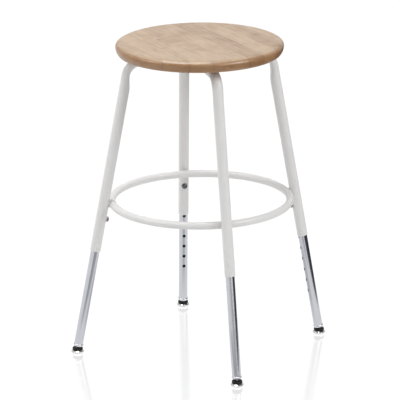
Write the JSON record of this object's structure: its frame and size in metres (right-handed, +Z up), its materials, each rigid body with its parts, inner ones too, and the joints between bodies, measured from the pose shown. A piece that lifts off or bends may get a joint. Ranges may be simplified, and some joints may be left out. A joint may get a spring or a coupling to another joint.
{
  "type": "work stool",
  "caption": "Backless work stool: round wooden seat on splayed tube legs with a foot ring, telescoping height inserts, locking screws and swivel glides.",
  "frame": {"origin": "on the floor, on the seat's axis, which is the middle of the stool's footprint to within its legs' own small differences", "axes": "+Z up along the seat's axis; -Y is the stool's front, the side whose leg stands nearest the camera; +X is the right-hand leg's side"},
  "size_m": [0.5624, 0.5584, 0.676],
  "materials": {
    "seat_wood": "clear lacquered edge-glued hardwood, satin",
    "white_coat": "smooth off-white powder coat, semi-gloss",
    "bush_steel": "light plated steel",
    "lock_steel": "dark polished steel",
    "insert_chrome": "bright plated tube",
    "ferrule_chrome": "polished",
    "zinc_steel": "zinc plated",
    "glide_nickel": "nickel plated, polished",
    "black_cushion": "glossy black moulding"
  },
  "bodies": {
    "frame": {"seat": "seat_wood", "seat_plate": "white_coat", "seat_screws": "zinc_steel", "seat_plate_welds": "white_coat", "foot_ring": "white_coat", "ring_welds": "white_coat", "lock_bushes": "bush_steel", "leg_right": "white_coat", "leg_back": "white_coat", "leg_left": "white_coat", "leg_front": "white_coat"},
    "insert_right_body": {"insert_right": "insert_chrome", "ferrule_right": "ferrule_chrome", "glide_stem_right": "zinc_steel"},
    "lock_right_body": {"lock_screw_right": "lock_steel"},
    "glide_right_body": {"glide_base_right": "glide_nickel", "glide_cushion_right": "black_cushion"},
    "insert_back_body": {"insert_back": "insert_chrome", "ferrule_back": "ferrule_chrome", "glide_stem_back": "zinc_steel"},
    "lock_back_body": {"lock_screw_back": "lock_steel"},
    "glide_back_body": {"glide_base_back": "glide_nickel", "glide_cushion_back": "black_cushion"},
    "insert_left_body": {"insert_left": "insert_chrome", "ferrule_left": "ferrule_chrome", "glide_stem_left": "zinc_steel"},
    "lock_left_body": {"lock_screw_left": "lock_steel"},
    "glide_left_body": {"glide_base_left": "glide_nickel", "glide_cushion_left": "black_cushion"},
    "insert_front_body": {"insert_front": "insert_chrome", "ferrule_front": "ferrule_chrome", "glide_stem_front": "zinc_steel"},
    "lock_front_body": {"lock_screw_front": "lock_steel"},
    "glide_front_body": {"glide_base_front": "glide_nickel", "glide_cushion_front": "black_cushion"}
  },
  "joints": [
    {"name": "insert_slide_right", "type": "slide", "parent": "frame", "child": "insert_right_body", "axis": [-0.1683, -0.0088, 0.9857], "range_m": [0, 0.2]},
    {"name": "insert_slide_back", "type": "slide", "parent": "frame", "child": "insert_back_body", "axis": [-0.0212, -0.1662, 0.9859], "range_m": [0, 0.2]},
    {"name": "insert_slide_left", "type": "slide", "parent": "frame", "child": "insert_left_body", "axis": [0.1888, -0.0099, 0.982], "range_m": [0, 0.2]},
    {"name": "insert_slide_front", "type": "slide", "parent": "frame", "child": "insert_front_body", "axis": [-0.021, 0.1781, 0.9838], "range_m": [0, 0.2]},
    {"name": "lock_travel_right", "type": "slide", "parent": "frame", "child": "lock_right_body", "axis": [-0.9844, -0.0516, -0.1685], "range_m": [-0.0016, 0.0015]},
    {"name": "lock_travel_back", "type": "slide", "parent": "frame", "child": "lock_back_body", "axis": [-0.03, -0.9855, -0.1667], "range_m": [-0.0016, 0.0015]},
    {"name": "lock_travel_left", "type": "slide", "parent": "frame", "child": "lock_left_body", "axis": [0.9806, -0.0514, -0.1891], "range_m": [-0.0016, 0.0015]},
    {"name": "lock_travel_front", "type": "slide", "parent": "frame", "child": "lock_front_body", "axis": [-0.0405, 0.9831, -0.1788], "range_m": [-0.0016, 0.0015]},
    {"name": "glide_tilt_right", "type": "hinge", "parent": "insert_right_body", "child": "glide_right_body", "pos_m": [0.26398, 0.01383, 0.008], "axis": [-0.0523, 0.9986, 0], "range_deg": [-23.7, 4.3]},
    {"name": "glide_tilt_back", "type": "hinge", "parent": "insert_back_body", "child": "glide_back_body", "pos_m": [0.01384, 0.26345, 0.00804], "axis": [-0.9995, 0.0332, 0], "range_deg": [-23.6, 4.4]},
    {"name": "glide_tilt_left", "type": "hinge", "parent": "insert_left_body", "child": "glide_left_body", "pos_m": [-0.27099, 0.0142, 0.008], "axis": [-0.0523, -0.9986, 0], "range_deg": [-24.9, 3.1]},
    {"name": "glide_tilt_front", "type": "hinge", "parent": "insert_front_body", "child": "glide_front_body", "pos_m": [0.01599, -0.26741, 0.00803], "axis": [0.999, 0.0436, 0], "range_deg": [-24.3, 3.7]}
  ]
}
